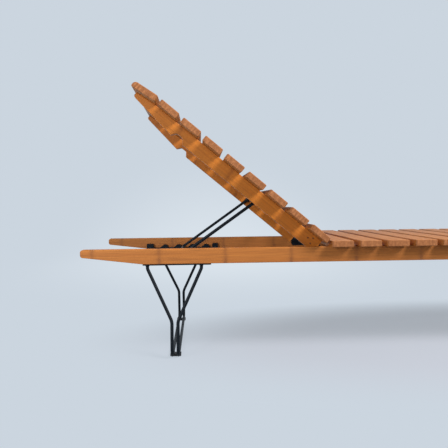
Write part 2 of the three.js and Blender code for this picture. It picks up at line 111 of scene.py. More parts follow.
def rounded_outline(corners):
    """A closed outline from corners (x, z, radius), given anticlockwise. Each corner is an arc that
    touches its two edges, with one more point HOLD away on each edge to keep the flats flat.
    Returns the points and their outward normals, both as arrays of shape (n, 2)."""
    corners = np.asarray(corners, float)
    point, radius = corners[:, :2], np.maximum(corners[:, 2:], 1e-5)
    back = np.roll(point, 1, axis=0) - point
    ahead = np.roll(point, -1, axis=0) - point
    back /= np.linalg.norm(back, axis=1, keepdims=True)
    ahead /= np.linalg.norm(ahead, axis=1, keepdims=True)
    half = np.arccos(np.clip((back * ahead).sum(1, keepdims=True), -1, 1)) / 2
    reach = radius / np.tan(half)
    inward = (back + ahead) / np.linalg.norm(back + ahead, axis=1, keepdims=True)
    centre = point + inward * radius / np.sin(half)
    first, last = point + back * reach, point + ahead * reach
    start = np.arctan2(*(first - centre).T[::-1])
    sweep = (np.arctan2(*(last - centre).T[::-1]) - start + np.pi) % (2 * np.pi) - np.pi
    turn = start[:, None] + sweep[:, None] * np.linspace(0, 1, EDGE_STEPS + 1)
    unit = np.stack([np.cos(turn), np.sin(turn)], axis=2)
    arc = centre[:, None] + radius[:, None] * unit
    normal = unit * np.sign(sweep)[:, None, None]
    before, after = (first + back * HOLD)[:, None], (last + ahead * HOLD)[:, None]
    points = np.concatenate([before, arc, after], axis=1).reshape(-1, 2)
    normals = np.concatenate([normal[:, :1], normal, normal[:, -1:]], axis=1).reshape(-1, 2)
    return points, normals


def rounded_box(left, bottom, right, top, radii):
    """The outline of a rectangle, with the radii of its corners from the lower left round."""
    return rounded_outline(list(zip((left, right, right, left), (bottom, bottom, top, top), radii)))


def slab(outline, low, high, ease):
    """A flat piece: the outline carried from low to high, each face's edge a quarter round of
    radius ease. Ring k is the outline drawn in by ease (1 - sin f) at depth ease (1 - cos f).
    Returns the vertices as (ring, point, (x, y, z)) and each vertex's share of end face."""
    points, normals = outline
    f = np.linspace(0, np.pi / 2, EASE_STEPS + 1)
    inset = np.concatenate([[ease * INNER_RING], ease * (1 - np.sin(f))])
    depth = np.concatenate([[0.0], ease * (1 - np.cos(f))])
    inset = np.concatenate([inset, inset[::-1]])
    level = np.concatenate([low + depth, (high - depth)[::-1]])
    ring = points[None] - normals[None] * inset[:, None, None]
    heights = np.broadcast_to(level[:, None], ring.shape[:2])
    face = np.concatenate([[1.0], np.cos(f)])
    face = np.broadcast_to(np.concatenate([face, face[::-1]])[:, None], ring.shape[:2])
    return np.stack([ring[..., 0], heights, ring[..., 1]], axis=2), face


def grid_faces(skin, looped=False):
    """Quads between the successive closed rings of a skin, an array of (ring, point, (x, y, z)).
    The two end rings are filled by polygons, or joined to each other if the rings are looped."""
    rings, count = skin.shape[:2]
    ring, point = np.meshgrid(np.arange(rings - (not looped)), np.arange(count), indexing="ij")
    after, beyond = (point + 1) % count, (ring + 1) % rings
    quads = np.stack([ring * count + point, beyond * count + point,
                      beyond * count + after, ring * count + after], axis=2).reshape(-1, 4)
    faces = quads.tolist()
    if not looped:
        faces.append(np.arange(count).tolist())
        faces.append(((rings - 1) * count + np.arange(count))[::-1].tolist())
    return faces


def outward(faces, vertices):
    """The same faces, turned round if the signed volume that they enclose is negative."""
    first = np.array([face[:3] for face in faces if len(face) == 4])
    third = np.array([[face[0], face[2], face[3]] for face in faces if len(face) == 4])
    corners = vertices[np.concatenate([first, third])]
    volume = np.einsum("ij,ij->", corners[:, 0], np.cross(corners[:, 1], corners[:, 2]))
    for face in (face for face in faces if len(face) > 4):
        fan = vertices[np.array([[face[0], b, c] for b, c in zip(face[1:-1], face[2:])])]
        volume += np.einsum("ij,ij->", fan[:, 0], np.cross(fan[:, 1], fan[:, 2]))
    return faces if volume > 0 else [face[::-1] for face in faces]


def piece(name, vertices, faces, material, body, nodes, slot, flat_faces=(), **attributes):
    """Makes a mesh object from arrays, smooth but for the flat faces, with its attributes and its
    finish, and gives it its body and the nodes that it stands for. The slot is not used."""
    vertices = np.asarray(vertices, float).reshape(-1, 3)
    mesh = bpy.data.meshes.new(name)
    mesh.from_pydata(vertices.tolist(), [], outward(faces, vertices))
    mesh.polygons.foreach_set("use_smooth", [i not in flat_faces for i in range(len(faces))])
    for key, values in attributes.items():
        kind, part = ("FLOAT_VECTOR", "vector") if values.ndim == 2 else ("FLOAT", "value")
        layer = mesh.attributes.new(key, kind, "POINT")
        layer.data.foreach_set(part, np.asarray(values, np.float32).ravel())
    mesh.materials.append(material)
    mesh.update()
    made = bpy.data.objects.new(name, mesh)
    scene.collection.objects.link(made)
    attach(made, body)
    if nodes:
        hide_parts(*nodes)


def linear(hex_colour):
    """The linear colour of an sRGB hex value such as "c88a4c"."""
    value = np.array([int(hex_colour[i:i + 2], 16) for i in (0, 2, 4)]) / 255
    value = np.where(value <= 0.04045, value / 12.92, ((value + 0.055) / 1.055) ** 2.4)
    return (*value.tolist(), 1.0)


def add(owner, kind, inputs=None, **settings):
    """Adds a shader node to a material or a world, sets its properties, fills or links its inputs
    by name or number, and returns its outputs."""
    made = owner.node_tree.nodes.new(f"ShaderNode{kind}")
    for key, value in settings.items():
        setattr(made, key, value)
    for key, value in (inputs or {}).items():
        if isinstance(value, bpy.types.NodeSocket):
            owner.node_tree.links.new(value, made.inputs[key])
        else:
            made.inputs[key].default_value = value
    return made.outputs


def finish_named(name):
    """A new material with no nodes in it yet."""
    material = bpy.data.materials.new(name)
    material.use_nodes = True
    material.node_tree.nodes.clear()
    return material


def oiled_bamboo(name, face_hexes, end_hexes, scatter, matt, ior):
    """Laminated bamboo under oil: strips 18 mm wide and 5 mm thick glued side by side, each with
    its own tone, long fine fibres, and a dark smudge at each node of the cane about every 220 mm.
    The nodes of neighbouring strips lie within scatter times that spacing of each other. The oil
    leaves a soft sheen of roughness matt. The colours are those of a pale strip, a dark one, its
    streaks and its nodes, and for the end grain those of the flesh and the fibre bundles."""
    strip_light, strip_dark, streak, node_band = (linear(hex_colour) for hex_colour in face_hexes)
    end_light, end_dark = (linear(hex_colour) for hex_colour in end_hexes)
    look = finish_named(name)
    board = add(look, "Attribute", attribute_name="board")["Vector"]
    seed = add(look, "Attribute", attribute_name="board_seed")["Fac"]
    end = add(look, "Attribute", attribute_name="end_grain")["Fac"]
    axis = add(look, "SeparateXYZ", {0: board})
    column, layer = (add(look, "Math", {0: across, 1: size}, operation="DIVIDE")[0]
                     for across, size in ((axis[1], STRIP_WIDTH), (axis[2], STRIP_DEPTH)))
    counts = [add(look, "Math", {0: count}, operation="FLOOR")[0] for count in (column, layer)]
    cell = add(look, "CombineXYZ", {0: counts[0], 1: counts[1], 2: seed})[0]
    strip = add(look, "TexWhiteNoise", {"Vector": cell}, noise_dimensions="3D")
    strip_tone = strip["Value"]
    strip_hash = add(look, "SeparateColor", {0: strip["Color"]})

    # Fibres: noise drawn out 50 times along the cane, about 2 mm wide, coarser than the real 0.3 mm
    # so that it shows at this size, and a broader drift of tone about 10 mm wide
    shift = add(look, "CombineXYZ", {0: seed, 1: seed, 2: seed})[0]
    seeded = add(look, "VectorMath", {0: board, 1: shift}, operation="ADD")[0]
    long_way = add(look, "VectorMath", {0: seeded, 1: (ALONG_GRAIN, 1.0, 1.0)},
                   operation="MULTIPLY")[0]
    fibre = add(look, "TexNoise", {"Vector": long_way, "Scale": FIBRES, "Detail": 4.0,
                                   "Roughness": 0.66})["Fac"]
    drift = add(look, "TexNoise", {"Vector": long_way, "Scale": DRIFTS, "Detail": 2.0})["Fac"]

    # Nodes of the cane: a soft smudge about 30 mm long with a darker scar in it, strong on some
    # strips and faint on others, but on all of them where the strips' nodes lie together. It lies
    # where the distance to the nearest multiple of the spacing is small.
    wander = add(look, "Math", {0: drift, 1: NODE_WANDER, 2: -NODE_WANDER / 2},
                 operation="MULTIPLY_ADD")[0]
    shifted = add(look, "Math", {0: strip_hash[1], 1: NODE_SPACING * scatter},
                  operation="MULTIPLY")[0]
    away = axis[0]
    for operation, value in (("ADD", wander), ("ADD", shifted), ("DIVIDE", NODE_SPACING),
                             ("ADD", 0.5), ("FRACT", 0.0), ("SUBTRACT", 0.5), ("ABSOLUTE", 0.0),
                             ("MULTIPLY", NODE_SPACING)):
        away = add(look, "Math", {0: away, 1: value}, operation=operation)[0]
    strength = strip_hash[2]
    for operation, value in (("POWER", 1.5), ("MAXIMUM", FAINTEST_NODE * (1 - scatter))):
        strength = add(look, "Math", {0: strength, 1: value}, operation=operation)[0]
    band, halo = (add(look, "MapRange", {"Value": away, "From Min": far, "From Max": near,
                                         "To Max": strength}, interpolation_type="SMOOTHSTEP")[0]
                  for far, near in (NODE_SCAR, NODE_HALO))

    # Glue lines, drawn 0.5 mm wide because the real ones are too fine to show
    seams = []
    for count, from_middle in ((column, 0.472), (layer, 0.42)):
        for operation, value in (("FRACT", 0.0), ("SUBTRACT", 0.5), ("ABSOLUTE", 0.0)):
            count = add(look, "Math", {0: count, 1: value}, operation=operation)[0]
        seams.append(add(look, "MapRange", {"Value": count, "From Min": from_middle,
                                            "From Max": 0.495})[0])
    seam = add(look, "Math", {0: seams[0], 1: seams[1]}, operation="MAXIMUM")[0]

    # End grain: dark fibre bundles about 1 mm apart in paler flesh, on faces sawn across the cane,
    # which stay dull. Each tone in turn is laid over the ones before it, by a value times the most
    # of it that may show.
    flesh = add(look, "TexNoise", {"Vector": board, "Scale": CLOUDS, "Detail": 2.0})["Fac"]
    spots = add(look, "TexVoronoi", {"Vector": board, "Scale": BUNDLES})["Distance"]
    deep, line, cloud, bundle = (
        add(look, "MapRange", {"Value": value, "From Min": start, "From Max": full})[0]
        for value, start, full in ((drift, 0.40, 0.72), (fibre, 0.46, 0.74), (flesh, 0.35, 0.70),
                                   (spots, 0.45, 0.15)))
    faces = ((strip_tone, 1.0, strip_dark), (deep, 0.75, strip_dark), (line, 1.0, streak),
             (seam, 0.4, streak), (halo, 0.75, streak), (band, 0.85, node_band))
    ends = ((cloud, 0.6, end_dark), (bundle, 0.15, end_dark), (strip_tone, 0.6, end_dark),
            (seam, 0.5, streak))
    shown = []
    for colour, tones in ((strip_light, faces), (end_light, ends)):
        for value, most, tone in tones:
            share = add(look, "Math", {0: value, 1: most}, operation="MULTIPLY")[0]
            colour = add(look, "Mix", {0: share, 6: colour, 7: tone}, data_type="RGBA")[2]
        shown.append(colour)
    colour = add(look, "Mix", {0: end, 6: shown[0], 7: shown[1]}, data_type="RGBA")[2]

    dull, raised, sunk = (add(look, "Math", {0: value, 1: most}, operation="MULTIPLY")[0]
                          for value, most in ((end, 0.75), (fibre, 0.6), (band, 0.5)))
    sheen = add(look, "MapRange", {"Value": fibre, "From Min": 0.3, "From Max": 0.8,
                                   "To Min": matt - 0.08, "To Max": matt + 0.08})[0]
    rough = add(look, "Math", {0: sheen, 1: dull}, operation="MAXIMUM")[0]
    relief = add(look, "Math", {0: raised, 1: sunk}, operation="SUBTRACT")[0]
    bump = add(look, "Bump", {"Height": relief, "Strength": 0.35, "Distance": 0.0004})[0]
    surface = add(look, "BsdfPrincipled",
                  {"Base Color": colour, "Roughness": rough, "Normal": bump, "IOR": ior})[0]
    add(look, "OutputMaterial", {"Surface": surface})
    return look


slat_bamboo = oiled_bamboo(
    "oiled_bamboo_slats", ("cc884a", "b47034", "925522", "703a16"), ("b8784a", "7c4826"),
    scatter=1.0, matt=0.52, ior=1.38)


def slat_surface(start, width, bottom, thickness, low, high, radii=PLAIN_SLAT):
    """A slat in its own frame: a rounded rectangle in x and z carried along y, with eased ends."""
    outline = rounded_box(start, bottom, start + width, bottom + thickness, radii)
    return slab(outline, low, high, SLAT_END)


def board_slat(name, surface, placed, seed, body):
    """Puts a slat in place with its grain along y and its strips standing on edge side by side, and
    lets it stand for the node of its name."""
    vertices, face = surface
    flat = vertices.reshape(-1, 3)
    grain = np.stack([flat[:, 1], STANDING * (flat[:, 2] - flat[:, 2].min()),
                      flat[:, 0] - flat[:, 0].min()], axis=1)
    piece(f"{name}_board", placed(flat), grid_faces(vertices), slat_bamboo, body, [name],
          "bamboo_slat", board=grain, board_seed=np.full(len(flat), seed), end_grain=face.ravel())


draw = np.random.default_rng(7)
SEEDS = (0, 40)
for number in range(1, SEAT_SLATS + 1):
    node = f"seat_slat_{number}"
    low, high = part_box(node)
    shape = slat_surface(low.x, high.x - low.x, low.z, high.z - low.z, low.y, high.y,
                         FOOT_NOSE if number == SEAT_SLATS else PLAIN_SLAT)
    board_slat(node, shape, lambda flat: flat, draw.uniform(*SEEDS), "frame")


# Backrest slats. The same boards on the backrest's own rails, worked out flat, with the hinge axis
# as their origin, and then turned up to the raised position. The wider head slat tilts down.
BACK_SLATS = 9
SLAT_THICKNESS = 0.021
HEAD_SLAT_WIDTH = 0.0895
HEAD_SLAT_GAP = 0.014
HEAD_NOSE = (0.0045, SLAT_EDGE, SLAT_EDGE, 0.0134)
HEAD_SLAT_TILT = math.radians(6.4)
HEAD_SLAT_LIFT = 0.0006
BACK_SLAT_WIDTH = 0.0725
BACK_SLAT_GAP = 0.0185
SLATS_ABOVE_HINGE = 0.0113
BACK_START = -0.8387
RAISED = math.radians(39.8)
hinge = pivots["backrest_recline"]


def turned_about_y(flat, angle):
    """Points turned by angle about the y axis, positive lifting the side of negative x."""
    cosine, sine = math.cos(angle), math.sin(angle)
    x, y, z = flat.T
    return np.stack([x * cosine + z * sine, y, z * cosine - x * sine], axis=1)


def on_backrest(flat):
    """From the backrest's own frame, flat and centred on the hinge axis, to its raised place."""
    return turned_about_y(flat, RAISED) + hinge


half_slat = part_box("backrest_slat_1")[1].y
lying, face = slat_surface(-HEAD_SLAT_WIDTH, HEAD_SLAT_WIDTH, 0.0, SLAT_THICKNESS,
                           -half_slat, half_slat, HEAD_NOSE)
place = BACK_START + HEAD_SLAT_WIDTH
tilted = turned_about_y(lying.reshape(-1, 3), -HEAD_SLAT_TILT)
tilted += (place, 0.0, SLATS_ABOVE_HINGE + HEAD_SLAT_LIFT)
board_slat("backrest_slat_1", (tilted.reshape(lying.shape), face), on_backrest,
           draw.uniform(*SEEDS), "backrest")
place += HEAD_SLAT_GAP
for number in range(2, BACK_SLATS + 1):
    shape = slat_surface(place, BACK_SLAT_WIDTH, SLATS_ABOVE_HINGE, SLAT_THICKNESS,
                         -half_slat, half_slat)
    board_slat(f"backrest_slat_{number}", shape, on_backrest, draw.uniform(*SEEDS), "backrest")
    place += BACK_SLAT_WIDTH + BACK_SLAT_GAP


# Main rails. Two long bamboo beams on edge, sawn to a taper from below at both ends, with round
# noses and eased arrises, laminated with their strips lying flat.
RAIL_TAPER = 0.205
RAIL_TIP = 0.025
RAIL_NOSE = 0.0085
RAIL_EASE = 0.0016
TAPER_BEND = 0.16
RAIL_NODE_AT = {"right": -0.752, "left": -0.5122}
SAWN_FROM = 0.55  # end grain begins to show where an edge's normal leans this far along the rail
SAWN_RUN = 0.35  # and is full where it leans this much further
rail_bamboo = oiled_bamboo(
    "oiled_bamboo_rails", ("d58536", "b66922", "8b5019", "6a3612"), ("b8784a", "86502c"),
    scatter=0.05, matt=0.64, ior=1.5)


def rail_board(name, outline, low, high, placed, node_at, seed, body, finish, kerf=None):
    """A rail: the outline in x and z carried across its thickness, its grain along x, with a node
    of the cane at node_at. End grain shows where the outline's normal turns along the rail. A kerf
    (x, half_width) is open at the foot end: beyond x the outline stops at the kerf's two walls."""
    points, normals = outline
    if kerf:
        past = points[:, 0] - kerf[0]
        crossing = np.nonzero(past * np.roll(past, -1) < 0)[0]
        added = [(kerf[0], points[i, 1]) for i in crossing]
        points = np.insert(points, crossing + 1, added, axis=0)
        normals = np.insert(normals, crossing + 1, normals[crossing], axis=0)
    vertices, _ = slab((points, normals), low, high, RAIL_EASE)
    if kerf:
        half = len(vertices) // 2
        walls = np.repeat(vertices[half - 1:half], 2, axis=0)
        walls[0, :, 1] = (low + high) / 2 - kerf[1]
        walls[1, :, 1] = (low + high) / 2 + kerf[1]
        vertices = np.concatenate([vertices[:half], walls, vertices[half:]])
    count = len(points)
    faces = grid_faces(vertices)
    flat_faces = ()
    if kerf:
        below, above = crossing + (1, 2)
        near = half * count
        gone = {near + i for i in range(below, above)}
        faces = [face for i, face in enumerate(faces) if i not in gone]
        cheek = np.arange(below, above + 1)
        faces.append((near + cheek).tolist())
        faces.append((near + count + cheek)[::-1].tolist())
        faces.append([near + above, near + count + above, near + count + below, near + below])
        flat_faces = range(len(faces) - 3, len(faces))
    flat = vertices.reshape(-1, 3)
    grain = np.stack([flat[:, 0] - node_at, flat[:, 2] - flat[:, 2].min(),
                      flat[:, 1] - flat[:, 1].min()], axis=1)
    sawn = np.clip((np.abs(normals[:, 0]) - SAWN_FROM) / SAWN_RUN, 0, 1)
    sawn = np.broadcast_to(sawn, vertices.shape[:2]).copy()
    sawn[[0, 1, -2, -1]] = 0
    piece(f"{name}_beam", placed(flat), faces, finish, body, [name], "bamboo_rail", flat_faces,
          board=grain, board_seed=np.full(len(flat), seed), end_grain=sawn.ravel())


for side, node_at in RAIL_NODE_AT.items():
    low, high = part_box(f"main_rail_{side}")
    head = [
        (low.x + RAIL_TAPER, low.z, TAPER_BEND),
        (low.x, high.z - RAIL_TIP, RAIL_NOSE),
        (low.x, high.z, RAIL_NOSE),
    ]
    foot = [(-x, z, radius) for x, z, radius in reversed(head)]
    outline = rounded_outline((foot + head)[::-1])
    rail_board(f"main_rail_{side}", outline, low.y, high.y, lambda flat: flat, node_at,
               draw.uniform(*SEEDS), "frame", rail_bamboo)


# Backrest rails. Shorter beams that nest between the main rails. Their top is bevelled under the
# tilted head slat and their underside rises to a slim tip. An arched notch lets the prop's cross
# bar in when the backrest lies flat, and a saw kerf at the foot holds the steel hinge tongue.
BACK_RAIL_HEIGHT = 0.0465
BACK_RAIL_INSET = 0.0107
TIP_DEPTH = 0.0225
TIP_TOP_RADIUS = 0.006
TIP_BOTTOM_RADIUS = 0.0075
BACK_TAPER = 0.188
NOTCH_START = 0.1877
NOTCH_LENGTH = 0.051
NOTCH_DEPTH = 0.0185
NOTCH_FLANK = 0.01375
NOTCH_LIP = 0.004
NOTCH_FLOOR = 0.009
KERF_LENGTH = 0.057
KERF_WIDTH = 0.0046
HINGE_PAST_SLATS = 0.0257
HINGE_CORNER = 0.003
BEVEL_BEND = 0.05
RAIL_BELOW_SLATS = 0.0003
BACK_NODE_AT = {"right": -0.6295, "left": -0.552}
# The backrest rails take their own, more saturated copy of the rail bamboo. Its colour is painted
# shade: it stands for how these rails look in the shadow of the slats.
shade_toned_bamboo = oiled_bamboo(
    "oiled_bamboo_backrest_rails", ("de882e", "c6721f", "9c5816", "7c4014"), ("b8784a", "86502c"),
    scatter=0.05, matt=0.52, ior=1.4)
rail_top = SLATS_ABOVE_HINGE - RAIL_BELOW_SLATS
rail_bottom = rail_top - BACK_RAIL_HEIGHT
tip = BACK_START + BACK_RAIL_INSET
bevel_start = BACK_START + HEAD_SLAT_WIDTH - HEAD_SLAT_LIFT / math.tan(HEAD_SLAT_TILT)
tip_top = rail_top - (bevel_start - tip) * math.tan(HEAD_SLAT_TILT)
taper_slope = (BACK_RAIL_HEIGHT - TIP_DEPTH) / BACK_TAPER
notch = BACK_START + NOTCH_START
notch_lip = rail_bottom + (tip + BACK_TAPER - notch) * taper_slope
back_rail_outline = rounded_outline([
    (bevel_start, rail_top, BEVEL_BEND),
    (tip, tip_top, TIP_TOP_RADIUS),
    (tip, rail_top - TIP_DEPTH, TIP_BOTTOM_RADIUS),
    (notch, notch_lip, NOTCH_LIP),
    (notch + NOTCH_FLANK, rail_bottom + NOTCH_DEPTH, NOTCH_FLOOR),
    (notch + NOTCH_LENGTH - NOTCH_FLANK, rail_bottom + NOTCH_DEPTH, NOTCH_FLOOR),
    (notch + NOTCH_LENGTH, rail_bottom, NOTCH_LIP),
    (-HINGE_PAST_SLATS, rail_bottom, HINGE_CORNER),
    (-HINGE_PAST_SLATS, rail_top, HINGE_CORNER),
])
for side, node_at in BACK_NODE_AT.items():
    low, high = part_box(f"backrest_rail_{side}")
    rail_board(f"backrest_rail_{side}", back_rail_outline, low.y, high.y, on_backrest, node_at,
               draw.uniform(*SEEDS), "backrest", shade_toned_bamboo,
               (-HINGE_PAST_SLATS - KERF_LENGTH, KERF_WIDTH / 2))


# Leg rods. Two 11 mm steel rods a pair, cold bent, each of them one leg on both sides joined by a
# bar along the floor, powder coated fine black. The legs lean outwards.
ROD = 0.0055
ROD_SIDES = 28
ROD_END = 0.0012
BEND_STEP = math.radians(6)
LEG_SPREAD_TOP = 0.1785
LEG_SPREAD_FOOT = 0.0195
LEG_BEND_HEIGHT = 0.122
LEG_LEAN = 0.045
LEG_BEND_RADIUS = 0.045
LEG_TOP_STRAIGHT = 0.012
LEG_TOP_RADIUS = 0.014
LEG_FOOT_RADIUS = 0.028
FLOOR_BAR = 0.0075
WELD = 0.0016
WELD_SIDES = 8
WELD_RIPPLES = 9
WELD_RIPPLE = 0.12


def worn_finish(name, hexes, patches, worn, sheen, grain=None, **surface):
    """An even finish with soft patches, so many of them to a metre. Worn says where in the patches'
    noise the second colour begins to show, and how much of it does. Sheen is the roughness between
    the patches and on them. A grain is a fine relief: how many of it there are to a metre, its
    detail, its strength and its depth."""
    look = finish_named(name)
    place = add(look, "TexCoord")["Object"]
    patch = add(look, "TexNoise", {"Vector": place, "Scale": patches, "Detail": 3.0})["Fac"]
    share = add(look, "MapRange", {"Value": patch, "From Min": worn[0], "From Max": 0.75,
                                   "To Max": worn[1]})[0]
    surface["Base Color"] = add(look, "Mix", {0: share, 6: linear(hexes[0]), 7: linear(hexes[1])},
                                data_type="RGBA")[2]
    surface["Roughness"] = add(look, "MapRange", {"Value": patch, "From Min": 0.3, "From Max": 0.7,
                                                  "To Min": sheen[0], "To Max": sheen[1]})[0]
    if grain:
        number, detail, strength, depth = grain
        relief = add(look, "TexNoise", {"Vector": place, "Scale": number, "Detail": detail})["Fac"]
        surface["Normal"] = add(look, "Bump", {"Height": relief, "Strength": strength,
                                               "Distance": depth})[0]
    skin = add(look, "BsdfPrincipled", surface)[0]
    add(look, "OutputMaterial", {"Surface": skin})
    return look


# Black polyester powder on steel: a satin gloss broken up by pebbles 1.1 mm across, a little paler
# and duller in patches of 36 mm where dust lies in it
black_steel = worn_finish("black_powder_coat", ("030a12", "0b141d"), patches=28.0, worn=(0.45, 0.5),
                          sheen=(0.41, 0.54), grain=(900.0, 2.0, 0.25, 0.0002), IOR=1.25)


def bent_path(corners):
    """The centreline of a bent rod from corners ((x, y, z), radius): straight runs joined by
    circular bends, each cut into steps of about BEND_STEP. Returns points and tangents."""
    spots = np.array([corner[0] for corner in corners], float)
    runs = np.diff(spots, axis=0)
    runs /= np.linalg.norm(runs, axis=1, keepdims=True)
    points, tangents = [spots[:1]], [runs[:1]]
    for before, after, spot, (_, radius) in zip(runs, runs[1:], spots[1:], corners[1:]):
        angle = math.acos(np.clip(before @ after, -1, 1))
        sideways = (after - before @ after * before) / math.sin(angle)
        turn = np.linspace(0, angle, max(3, round(angle / BEND_STEP)))[:, None]
        start = spot - before * radius * math.tan(angle / 2)
        points.append(start + radius * (np.sin(turn) * before + (1 - np.cos(turn)) * sideways))
        tangents.append(np.cos(turn) * before + np.sin(turn) * sideways)
    points.append(spots[-1:])
    tangents.append(runs[-1:])
    return np.concatenate(points), np.concatenate(tangents)


def rod(points, tangents, across):
    """A rod along a path. Each ring stands square to its tangent, starting from a direction that is
    carried along the path without twist, and the ends are eased by ROD_END."""
    frames = []
    direction = np.array(across, float)
    for tangent in tangents:
        direction = direction - (direction @ tangent) * tangent
        direction /= np.linalg.norm(direction)
        frames.append(direction)
    first = np.array(frames)[:, None]
    second = np.cross(tangents, first[:, 0])[:, None]
    turn = np.linspace(0, 2 * np.pi, ROD_SIDES, endpoint=False)[None, :, None]
    ring = np.cos(turn) * first + np.sin(turn) * second
    f = np.linspace(0, np.pi / 2, EASE_STEPS)
    shrink = np.concatenate([[ROD - 2 * ROD_END], ROD - ROD_END * (1 - np.sin(f))])[:, None, None]
    pull = np.concatenate([[0.0], ROD_END * (1 - np.cos(f))])[:, None, None]
    head = points[:1, None] + tangents[:1, None] * pull + ring[:1] * shrink
    tail = points[-1:, None] - tangents[-1:, None] * pull + ring[-1:] * shrink
    middle = points[1:-1, None] + ring[1:-1] * ROD
    return np.concatenate([head, middle, tail[::-1]])


def joined(parts):
    """Several closed skins, each of them a pair of vertices and faces, as one pair."""
    vertices, faces, start = [], [], 0
    for skin, own in parts:
        skin = np.asarray(skin, float).reshape(-1, 3)
        faces += [[index + start for index in face] for face in outward(own, skin)]
        vertices.append(skin)
        start += len(skin)
    return np.concatenate(vertices), faces


def bead(centre, axis, radius):
    """A weld bead: a ring of round section about an axis in the plane of x and z, radius from it to
    the section's middle, with ripples as r = WELD (1 + WELD_RIPPLE sin(WELD_RIPPLES t))."""
    axis = np.array(axis, float) / np.linalg.norm(axis)
    first = np.cross(axis, (0.0, 1.0, 0.0))
    first /= np.linalg.norm(first)
    second = np.cross(axis, first)
    turn = np.linspace(0, 2 * np.pi, ROD_SIDES, endpoint=False)[:, None, None]
    round_it = np.linspace(0, 2 * np.pi, WELD_SIDES, endpoint=False)[None, :, None]
    out = np.cos(turn) * first + np.sin(turn) * second
    thick = WELD * (1 + WELD_RIPPLE * np.sin(WELD_RIPPLES * turn))
    skin = np.asarray(centre) + out * (radius + thick * np.cos(round_it)) \
        + axis * thick * np.sin(round_it)
    return skin, grid_faces(skin, looped=True)


for end, inward in (("head", 1), ("foot", -1)):
    plane = sum(corner.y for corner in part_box(f"{end}_leg_plate_left")) / 2
    for name, way in (("outer", -inward), ("inner", inward)):
        node = f"{end}_leg_rod_{name}"
        low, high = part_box(node)
        foot_x = (low.x + ROD) if way > 0 else (high.x - ROD)
        top_x = foot_x + way * (LEG_SPREAD_TOP - LEG_SPREAD_FOOT) / 2
        lean_start = high.z - LEG_TOP_STRAIGHT
        lean = LEG_LEAN * (lean_start - LEG_BEND_HEIGHT) / (lean_start - FLOOR_BAR)
        half = [
            ((top_x, -plane, high.z), 0.0),
            ((top_x, -plane, lean_start), LEG_TOP_RADIUS),
            ((foot_x, -plane - lean, LEG_BEND_HEIGHT), LEG_BEND_RADIUS),
            ((foot_x, -plane - LEG_LEAN, FLOOR_BAR), LEG_FOOT_RADIUS),
        ]
        other = [((x, -y, z), radius) for (x, y, z), radius in reversed(half)]
        skin = rod(*bent_path(half + other), (1, 0, 0))
        welds = [bead((top_x, y, high.z - WELD), (0, 0, 1), ROD) for y in (-plane, plane)]
        skins = joined([(skin, grid_faces(skin)), *welds])
        piece(f"{node}_bar", *skins, black_steel, "frame", [node], "black_steel")


# Leg plates. Flat steel bar with round corners, screwed up under each rail. The rods' tops are
# welded to it, and it is coated with them.
SIDES = {"right": -1, "left": 1}
PLATE_CORNER = 0.006
PLATE_EASE = 0.0006
for end in ("head", "foot"):
    for side in SIDES:
        node = f"{end}_leg_plate_{side}"
        low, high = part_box(node)
        outline = rounded_box(low.x, low.y, high.x, high.y, [PLATE_CORNER] * 4)
        lying, _ = slab(outline, low.z, high.z, PLATE_EASE)
        piece(f"{node}_bar", lying[..., [0, 2, 1]], grid_faces(lying), black_steel, "frame",
              [node], "black_steel")


# Racks. A strip of steel along each main rail's inner face, with a stop block at each end and four
# rounded teeth between them whose steep sides hold the cross bar.
RACK_ROOT = 0.008
RACK_HEAD_STOP = 0.0297
RACK_FOOT_STOP = 0.0242
STOP_RADIUS = 0.004
FIRST_TOOTH = 0.094
TOOTH_PITCH = 0.0589
TEETH = 4
TOOTH_LENGTH = 0.037
TOOTH_HEIGHT = 0.014
TOOTH_TIP = 0.0125
TOOTH_TIP_RADIUS = 0.006
TOOTH_STEEP = 0.0075
for side in SIDES:
    node = f"rack_{side}"
    low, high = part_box(node)
    root, soft = low.z + RACK_ROOT, RACK_ROOT / 4
    tops = [(low.x, low.z, soft), (low.x, high.z, STOP_RADIUS),
            (low.x + RACK_HEAD_STOP, high.z, STOP_RADIUS), (low.x + RACK_HEAD_STOP, root, soft)]
    for tooth in range(TEETH):
        base = low.x + FIRST_TOOTH + tooth * TOOTH_PITCH
        crest = base - TOOTH_STEEP
        tops += [(base - TOOTH_LENGTH, root, soft),
                 (crest - TOOTH_TIP, root + TOOTH_HEIGHT, TOOTH_TIP_RADIUS),
                 (crest, root + TOOTH_HEIGHT, TOOTH_TIP_RADIUS), (base, root, soft)]
    tops += [(high.x - RACK_FOOT_STOP, root, soft), (high.x - RACK_FOOT_STOP, high.z, STOP_RADIUS),
             (high.x, high.z, STOP_RADIUS), (high.x, low.z, soft)]
    skin, _ = slab(rounded_outline(tops[::-1]), low.y, high.y, PLATE_EASE)
    piece(f"{node}_strip", skin, grid_faces(skin), black_steel, "frame", [node], "black_steel")


# Glides. Moulded nylon saddles under the floor bars just inside each foot, the bars pressed into
# their two grooves.
GLIDE_EDGE = 0.0024
GLIDE_EASE = 0.0004
GLIDE_LIP = 0.0006
GLIDE_TRIM = 0.0022
GROOVE = 0.0057
GROOVE_CORNER = 0.005

